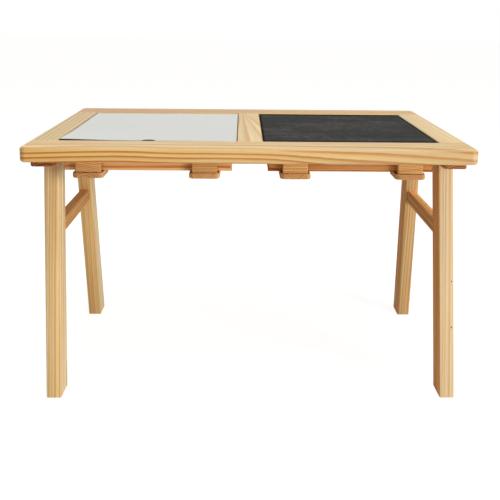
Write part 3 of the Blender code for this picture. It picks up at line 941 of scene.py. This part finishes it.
def smooth_line(points, share):
    """A smooth curve through given points."""
    index = max(i for i, point in enumerate(points[:-1]) if share >= point[0] or i == 0)
    (x0, y0), (x1, y1) = points[index], points[index + 1]
    before, after = points[max(index - 1, 0)], points[min(index + 2, len(points) - 1)]
    width, t = x1 - x0, (share - x0) / (x1 - x0)
    slope0, slope1 = (y1 - before[1]) / (x1 - before[0]), (after[1] - y0) / (after[0] - x0)
    a, b = 2 * t ** 3 - 3 * t ** 2 + 1, t ** 3 - 2 * t ** 2 + t
    return a * y0 + b * width * slope0 + (1 - a) * y1 + (t ** 3 - t ** 2) * width * slope1


def ease(share):
    share = min(1.0, max(0.0, share))
    return share * share * (3 - 2 * share)


def waving_flow(place):
    share = rail_share(place)
    line = rail_high.z - smooth_line(WAVE_LINE, min(1.0, max(0.0, share)))
    spread = 1 + (SPREAD - 1) * ease((share - SPREAD_START) / (SPREAD_END - SPREAD_START))
    height = (place.z - line) / spread + RAIL_HEART_DEPTH
    return place.x, (place.y - rail_low.y) / RAIL_RING, height / RAIL_RING


def fan_flow(place):
    """Lines that spread from a point behind the centre stile."""
    spread = FAN_DEPTH / (FAN_TIP.y - place.y)
    aside = (place.x - FAN_TIP.x) * spread / FAN_RING + FAN_SHIFT
    return place.y, aside, (place.z - rail_low.z) / FAN_RING


def rail_tint_and_top_sheen(place):
    """The top is paler than the edges: painted sheen, as of the bright room on the lacquer. The front
    turns paler to the right.
    """
    share = rail_share(place)
    if at(place.z, rail_high.z):
        return 1.02 - 0.15 * share, 1.1 - 0.19 * share, 1.15 - 0.34 * share
    if place.z > ROUNDING_FOOT:
        return 0.88 - 0.1 * share, 0.86, 0.76 + 0.34 * share
    return 1.06 - 0.13 * share, 0.98, 0.7 + 0.4 * share


def rail_contrast(place):
    """The lines are strongest on the front at the left, and soft on top and on the rounding."""
    if at(place.z, rail_high.z):
        return 0.75
    return 0.5 if place.z > ROUNDING_FOOT else 1.2 - 0.35 * rail_share(place)


def back_rail_tint(place):
    """The back rail is browner than the front one, most of all at its left end."""
    share = rail_share(place)
    return 0.84 + 0.1 * share, 0.79 + 0.17 * share, 0.64 + 0.18 * share


lay_grain(front_rail, waving_flow, X, rail_tint_and_top_sheen, rail_contrast, stray=0.12)
back_flow = straight_flow(middle_of("back_rail"), (1, 0.01, 0), Y, (0.06, -0.05), 0.0072)
lay_grain(back_rail, back_flow, X, back_rail_tint)
left_flow = straight_flow(middle_of("left_stile"), (0.006, 1, 0.004), X, (-0.11, -0.02), 0.0098)
right_flow = straight_flow(middle_of("right_stile"), (0.004, 1, 0), X, (0.09, 0.03), 0.0034)
# Each stile's flow, tint, contrast and stray
stile_trees = {
    "left": (left_flow, (0.84, 0.93, 0.93), 0.6, 1.0),
    "centre": (fan_flow, (1.0, 1.1, 1.16), 0.6, 0.1),
    "right": (right_flow, (1.0, 1.1, 1.18), 0.5, 1.0),
}
for side, (flow, tint, contrast, stray) in stile_trees.items():
    lay_grain(stiles[side], flow, Y, tint, contrast, stray)
    finish(stiles[side], pine, "pine", f"{side}_stile")
finish(front_rail, pine, "pine", "front_rail")
finish(back_rail, pine, "pine", "back_rail")
print("top frame laid")

# %% [markdown]
# ## The grain of the trestles and hangers
#
# Legs are chosen from straight timber, so their rings run up the leg. The face of each leg towards the
# table's middle has painted light on the left legs, which face the lamp, and painted shade on the right
# ones. The stretchers, battens and hangers come from darker, redder offcuts, and the battens are also
# painted darker with the shade under the top. The tops of the stretchers carry painted light and are
# paler than their sides, and the tops of the hangers' plates carry painted shade from the blocks on them.

# %% Lay the grain of the trestles and hangers
LEG_RING = 0.0062
# How near a point is to a leg's face where it belongs to that face
FACE_SLACK = 0.0004
# The tint of the leg, the tint of its face towards the table's middle with painted light or painted shade
# on it, and how strong its rings are
LEG_WOOD = {
    ("left", "front"): ((1.13, 1.21, 1.42), (1.22, 1.42, 1.95), 0.65),
    ("left", "back"): ((1.12, 1.07, 1.06), (1.24, 1.46, 2.0), 0.4),
    ("right", "front"): ((1.03, 1.11, 1.48), (1.07, 0.72, 0.44), 0.35),
    ("right", "back"): ((0.92, 0.91, 1.01), (1.16, 0.89, 0.7), 0.6),
}
# The tints of a stretcher's sides, and of its top with painted light on it
STRETCHER_TINTS_AND_TOP_LIGHT = {
    "left": ((0.92, 0.87, 0.74), (1.4, 1.3, 1.05)),
    "right": ((1.08, 0.99, 0.76), (1.9, 2.0, 1.8)),
}
# The battens are painted darker, with the shade they stand in under the top
BATTEN_SHADE_TINTS = {"left": (0.55, 0.45, 0.5), "right": (0.63, 0.6, 0.62)}
# Painted light and shade on the tray walls: the left walls are painted lighter and the right ones darker
TRAY_LIGHT_AND_SHADE_TINTS = {"left": (1.13, 1.09, 1.04), "right": (0.76, 0.58, 0.42)}
BLOCK_TINT = Vector((1.02, 1.02, 0.9))
# The plates' own tint, and painted shade on their tops under the blocks
PLATE_TINT, PLATE_TOP_SHADE_TINT = Vector((1.04, 1.18, 1.32)), Vector((0.3, 0.22, 0.2))
# How far the grain of a block slants, where it was cut askew
BLOCK_SLANTS = {"front_hanger_block_1": -0.13, "front_hanger_block_4": 0.07}


def leg_tint(node, plain, inner_painted_shading):
    """One tint for the leg, and another for its face towards the table's middle, which carries painted
    light or painted shade.
    """
    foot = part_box(node)[0].x + (0 if "right" in node else LEG_WIDTH)

    def tint(place):
        face = foot + side_shift * (1 - place.z / leg_top)
        return inner_painted_shading if abs(place.x - face) < FACE_SLACK else plain

    return tint


def topped(plain, top, height):
    """One tint for the sides, and another for the top face at a height: painted light on a stretcher,
    painted shade on a plate.
    """
    return lambda place: top if at(place.z, height) else plain


for (side, name), leg in legs.items():
    node = f"{side}_{name}_leg"
    run = Vector((-side_shift / leg_top, -ends[name] * lean, 1)).normalized()
    heart = (chance.uniform(0.07, 0.11) * (1 if side == "left" else -1), chance.uniform(-0.03, 0.03))
    flow = straight_flow(middle_of(node), run, X, heart, LEG_RING)
    plain, inner_painted_shading, contrast = LEG_WOOD[side, name]
    lay_grain(leg, flow, run, leg_tint(node, plain, inner_painted_shading), contrast)
    finish(leg, knotty_pine if node == "right_front_leg" else leg_pine, "pine", node)
for side in ("left", "right"):
    dress(
        stretchers[side], f"{side}_stretcher", Y, X, heart=(0.07, 0.04), ring=0.0034,
        tint=topped(*STRETCHER_TINTS_AND_TOP_LIGHT[side], bar_high.z), contrast=0.9, slant=0.01,
    )
    dress(
        battens[side], f"{side}_batten", Y, X, heart=(0.01, 0.05), ring=0.004,
        tint=BATTEN_SHADE_TINTS[side], contrast=1.1, slant=0.02,
    )
for node, piece in hangers.items():
    # Which way the fibres run, what lies across them, and how far the heart is aside and up or down
    if "block" in node:
        run, across, aside, away = X, Y, 0.02, (0.02, 0.05)
    else:
        run, across, aside, away = Y, X, 0.008, (0.012, 0.022)
    heart = (chance.uniform(-aside, aside), chance.choice((-1, 1)) * chance.uniform(*away))
    slanted = Vector(run) + Vector((0, 0, BLOCK_SLANTS.get(node, 0.0)))
    flow = straight_flow(middle_of(node), slanted, across, heart, chance.uniform(0.003, 0.0042))
    shade = chance.uniform(0.9, 1.04)
    # Each plate's top is painted dark with the shade under its block
    plate_tint_with_top_shade = topped(PLATE_TINT * shade, PLATE_TOP_SHADE_TINT * shade, plate_high.z)
    lay_grain(piece, flow, run, BLOCK_TINT * shade if "block" in node else plate_tint_with_top_shade, contrast=0.85)
    finish(piece, under_pine, "under_pine", node)
print("trestles and hangers laid")

# %% [markdown]
# ## The trays
#
# Each tray is four thin walls with tongues at the corners, and a hardboard base in a rebate under
# them. The outer edges of the walls are eased by hand. The ledges that carry the boards are plain strips
# glued to the stiles.

# %% The trays and the ledges
TRAY_EDGE_RADIUS = 0.003
TONGUE_THICKNESS = 0.004
TONGUE_LENGTH = 0.005
TONGUE_SHOULDER = 0.006
LEDGE_EDGE_RADIUS = 0.0008
BASE_EDGE_RADIUS = 0.0004


def build_tray(tray):
    walls = {}
    front_low, front_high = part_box(f"{tray}_front_wall")
    reach = -front_high.y - TOUCH_GAP
    for side, axis in (("front", 1), ("back", 1), ("left", 0), ("right", 0)):
        low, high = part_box(f"{tray}_{side}_wall")
        if axis == 0:
            low.y, high.y = -reach, reach
        outer = low[axis] if side in ("front", "left") else high[axis]
        walls[side] = start_box(f"{tray}_{side}_wall_board", low, high)
        round_edges(
            walls[side], TRAY_EDGE_RADIUS, 4,
            lambda place, direction: at(place[axis], outer) and not runs(direction, axis),
        )
    section = (TONGUE_THICKNESS, 0, front_high.z - front_low.z - 2 * TONGUE_SHOULDER)
    for side in ("left", "right"):
        middle = middle_of(f"{tray}_{side}_wall")
        for end, name in ((-1, "front"), (1, "back")):
            shoulder = (middle.x, end * reach, (front_low.z + front_high.z) / 2)
            tenon_joint(walls[side], walls[name], shoulder, (0, end, 0), section, TONGUE_LENGTH)
    base_low, base_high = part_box(f"{tray}_base")
    slack = Vector((TOUCH_GAP, TOUCH_GAP, TOUCH_GAP))
    below = Vector((0, 0, CUT_OVERRUN))
    for wall in walls.values():
        combine(wall, "DIFFERENCE", start_box("rebate", base_low - slack - below, base_high + slack))
    for side, wall in walls.items():
        run, across = (X, Y) if side in ("front", "back") else (Y, X)
        heart = (chance.uniform(0.05, 0.08), chance.uniform(-0.02, 0.02))
        ring = chance.uniform(0.0024, 0.0034)
        tint = TRAY_LIGHT_AND_SHADE_TINTS[tray.split("_")[0]]
        dress(wall, f"{tray}_{side}_wall", run, across, heart, ring, tint, body=tray)
    base = start_box(f"{tray}_base_sheet", base_low, base_high)
    round_edges(base, BASE_EDGE_RADIUS, 2, lambda place, direction: True)
    finish(base, hardboard, "hardboard", f"{tray}_base", body=tray)


def build_ledge(node):
    ledge = start_box(f"{node}_strip", *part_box(node))
    round_edges(ledge, LEDGE_EDGE_RADIUS, 2, edges_along(1))
    dress(ledge, node, Y, X, heart=(0.01, 0.04), ring=0.004)


for tray in ("left_tray", "right_tray"):
    build_tray(tray)
for node in sorted(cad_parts):
    if node.endswith("_ledge"):
        build_ledge(node)
print("trays and ledges built")

# %% [markdown]
# ## The two writing boards
#
# Each board is a sheet of hardboard with a thin writing face on top, and the two are cut alike. The
# finger notch in the front edge is a half circle. The white board has warped a little: its front left
# corner stands up, so that the dark edge of its core shows there as a line. To bend it, its face and
# its core are divided into small squares, and their points are lifted in code.

# %% Build the boards
FACE_THICKNESS = 0.0003
BOARD_CUTS = 23
NOTCH_RADIUS, NOTCH_SIDES, CUTTER_LENGTH = 0.01325, 64, 0.03
WARP_REACH = 0.14
WARP_LIFT = 0.0034
WARP_BACK = 0.004
FRONT_LIFT = 0.0016


def cut_notch(sheet, place):
    cutter = add_object(
        "notch", bpy.ops.mesh.primitive_cylinder_add,
        vertices=NOTCH_SIDES, radius=NOTCH_RADIUS, depth=CUTTER_LENGTH, location=place,
    )
    combine(sheet, "DIFFERENCE", cutter)


def warp(piece, low, high):
    """Lifts the front edge and its left corner towards the frame's top, and draws the corner back."""
    for vertex in piece.data.vertices:
        beside = max(0.0, 1 - (vertex.co.x - low.x) / WARP_REACH)
        behind = max(0.0, 1 - (vertex.co.y - low.y) / WARP_REACH)
        along_front = max(0.0, 1 - (vertex.co.x - low.x) / (high.x - low.x))
        share = beside ** 0.8 * behind ** 1.5
        vertex.co.z += max(WARP_LIFT * share, FRONT_LIFT * along_front ** 0.3 * behind ** 1.5)
        vertex.co.y += WARP_BACK * share


def build_board(node, face_material, face_slot, warped=False):
    low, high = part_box(node)
    seam = high.z - FACE_THICKNESS
    core = start_box(f"{node}_core", low, (high.x, high.y, seam))
    face = start_box(f"{node}_face", (low.x, low.y, seam), high)
    for sheet in (core, face):
        subdivide(sheet, 0, BOARD_CUTS)
        subdivide(sheet, 1, BOARD_CUTS)
        cut_notch(sheet, ((low.x + high.x) / 2, low.y, seam))
        if warped:
            warp(sheet, low, high)
    finish(core, dark_hardboard_and_shade, "hardboard", node, body=node)
    finish(face, face_material, face_slot, body=node)


build_board("white_board", white_face, "white_face", warped=True)
build_board("chalkboard", chalk_face, "chalk_face")
print("boards built")

# %% [markdown]
# ## Floor, backdrop and light
#
# The table stands on a white studio floor. A white floor lit like the table would be pale grey, so for
# rays that come straight from the camera it is given a little light of its own, which brings it to
# white and leaves the soft shadow under the table. The rest of the light is plain: an even sky, a large
# soft lamp in front on the right, low enough to reach in under the top and to throw the shadows of the
# hangers to the left, and a soft lamp overhead for the top.

# %% The floor
FLOOR_SIDE = 40.0
FLOOR_GREY, SHADOW_GREY = (0.8, 0.8, 0.8, 1), (0.3, 0.3, 0.3, 1)
FLOOR_GLOW = 0.905


def seen_straight(tree):
    """1 for rays from the camera, also by way of metal or glass, and 0 for all others."""
    seen = tree.nodes.new("ShaderNodeLightPath").outputs
    straight = maths("MAXIMUM", seen["Is Camera Ray"], seen["Is Glossy Ray"])
    return maths("MAXIMUM", straight, seen["Is Transmission Ray"])


floor = add_object("floor", bpy.ops.mesh.primitive_plane_add, size=FLOOR_SIDE)
floor_white, tree, shader = new_material("floor_white", Roughness=0.9, Specular_IOR_Level=0.0)
shader.inputs["Base Color"].default_value = FLOOR_GREY
shadowed = tree.nodes.new("ShaderNodeBsdfDiffuse")
shadowed.inputs["Color"].default_value = SHADOW_GREY
glow = tree.nodes.new("ShaderNodeEmission")
glow.inputs["Strength"].default_value = FLOOR_GLOW
both = wire("AddShader", shadowed.outputs[0], glow.outputs[0])
choice = wire("MixShader", seen_straight(tree), shader.outputs[0], both.outputs[0])
feed(tree.nodes["Material Output"].inputs["Surface"], choice.outputs[0])
floor.data.materials.append(floor_white)
print("floor laid")

# %% The sky and the lamps
SKY_STRENGTH = 0.3
SKY_TINT = (1.0, 0.93, 0.82, 1)
# Each lamp's place, side and power
LAMPS = {"key": ((3.7, -3.4, 1.05), 1.8, 162.0), "top": ((0.3, -0.6, 2.6), 1.6, 36.0)}
LAMP_TARGET = Vector((0, 0, 0.3))

world = bpy.data.worlds.new("sky")
bpy.context.scene.world = world
world.use_nodes = True
straight = seen_straight(world.node_tree)
background = world.node_tree.nodes["Background"]
feed(background.inputs["Color"], mix(straight, SKY_TINT, (1, 1, 1, 1)))
feed(background.inputs["Strength"], remap(straight, 0.0, 1.0, SKY_STRENGTH, 1.0))
for name, (place, side, power) in LAMPS.items():
    lamp = add_object(name, bpy.ops.object.light_add, type="AREA", location=place)
    lamp.data.size = side
    lamp.data.energy = power
    lamp.rotation_euler = (Vector(place) - LAMP_TARGET).to_track_quat("Z", "Y").to_euler()
bpy.context.scene.view_settings.view_transform = "Standard"
print("lit")
